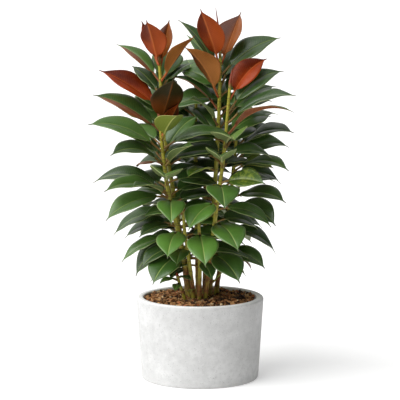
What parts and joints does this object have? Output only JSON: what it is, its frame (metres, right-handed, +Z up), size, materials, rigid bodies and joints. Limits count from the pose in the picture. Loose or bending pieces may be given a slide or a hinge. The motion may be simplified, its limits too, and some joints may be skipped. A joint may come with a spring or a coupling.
{
  "type": "potted rubber plant",
  "caption": "Upright rubber plant with several leaning stems and glossy oval leaves, red-brown at the top, in a low round concrete pot topped with bark mulch.",
  "frame": {"origin": "centre of the pot's flat base", "axes": "+Z up the pot's axis, +X to the right and +Y to the back of the view that shows the plant's fullest side"},
  "size_m": [0.5419, 0.4932, 0.9851],
  "materials": {
    "concrete": "matte",
    "soil": "matte",
    "bark": "matte",
    "stem": "satin",
    "green_leaf": "gloss",
    "olive_leaf": "gloss",
    "bronze_leaf": "gloss",
    "red_leaf": "gloss"
  },
  "bodies": {
    "root": {"pot": "concrete", "soil": "soil", "bark_mulch": "bark", "stem_1": "stem", "stem_2": "stem", "stem_3": "stem", "stem_4": "stem", "stem_5": "stem", "stem_6": "stem", "stem_7": "stem", "leaf_1_01": "red_leaf", "leaf_1_02": "bronze_leaf", "leaf_1_03": "bronze_leaf", "leaf_1_04": "green_leaf", "leaf_1_05": "green_leaf", "leaf_1_06": "red_leaf", "leaf_1_07": "green_leaf", "leaf_1_08": "green_leaf", "leaf_2_01": "olive_leaf", "leaf_2_02": "green_leaf", "leaf_2_03": "green_leaf", "leaf_2_04": "green_leaf", "leaf_2_05": "green_leaf", "leaf_2_06": "green_leaf", "leaf_2_07": "green_leaf", "leaf_2_08": "green_leaf", "leaf_2_09": "green_leaf", "leaf_2_10": "green_leaf", "leaf_2_11": "green_leaf", "leaf_2_12": "green_leaf", "leaf_2_13": "green_leaf", "leaf_3_01": "red_leaf", "leaf_3_02": "bronze_leaf", "leaf_3_03": "green_leaf", "leaf_3_04": "green_leaf", "leaf_3_05": "bronze_leaf", "leaf_3_06": "green_leaf", "leaf_3_07": "green_leaf", "leaf_4_01": "red_leaf", "leaf_4_02": "green_leaf", "leaf_4_03": "green_leaf", "leaf_4_04": "green_leaf", "leaf_4_05": "green_leaf", "leaf_4_06": "green_leaf", "leaf_4_07": "green_leaf", "leaf_4_08": "green_leaf", "leaf_4_09": "green_leaf", "leaf_4_10": "green_leaf", "leaf_5_01": "green_leaf", "leaf_5_02": "green_leaf", "leaf_5_03": "green_leaf", "leaf_5_04": "green_leaf", "leaf_5_05": "green_leaf", "leaf_6_01": "green_leaf", "leaf_7_01": "green_leaf", "leaf_7_02": "green_leaf", "leaf_7_03": "green_leaf", "leaf_7_04": "green_leaf", "leaf_7_05": "green_leaf", "leaf_7_06": "green_leaf"}
  },
  "joints": []
}
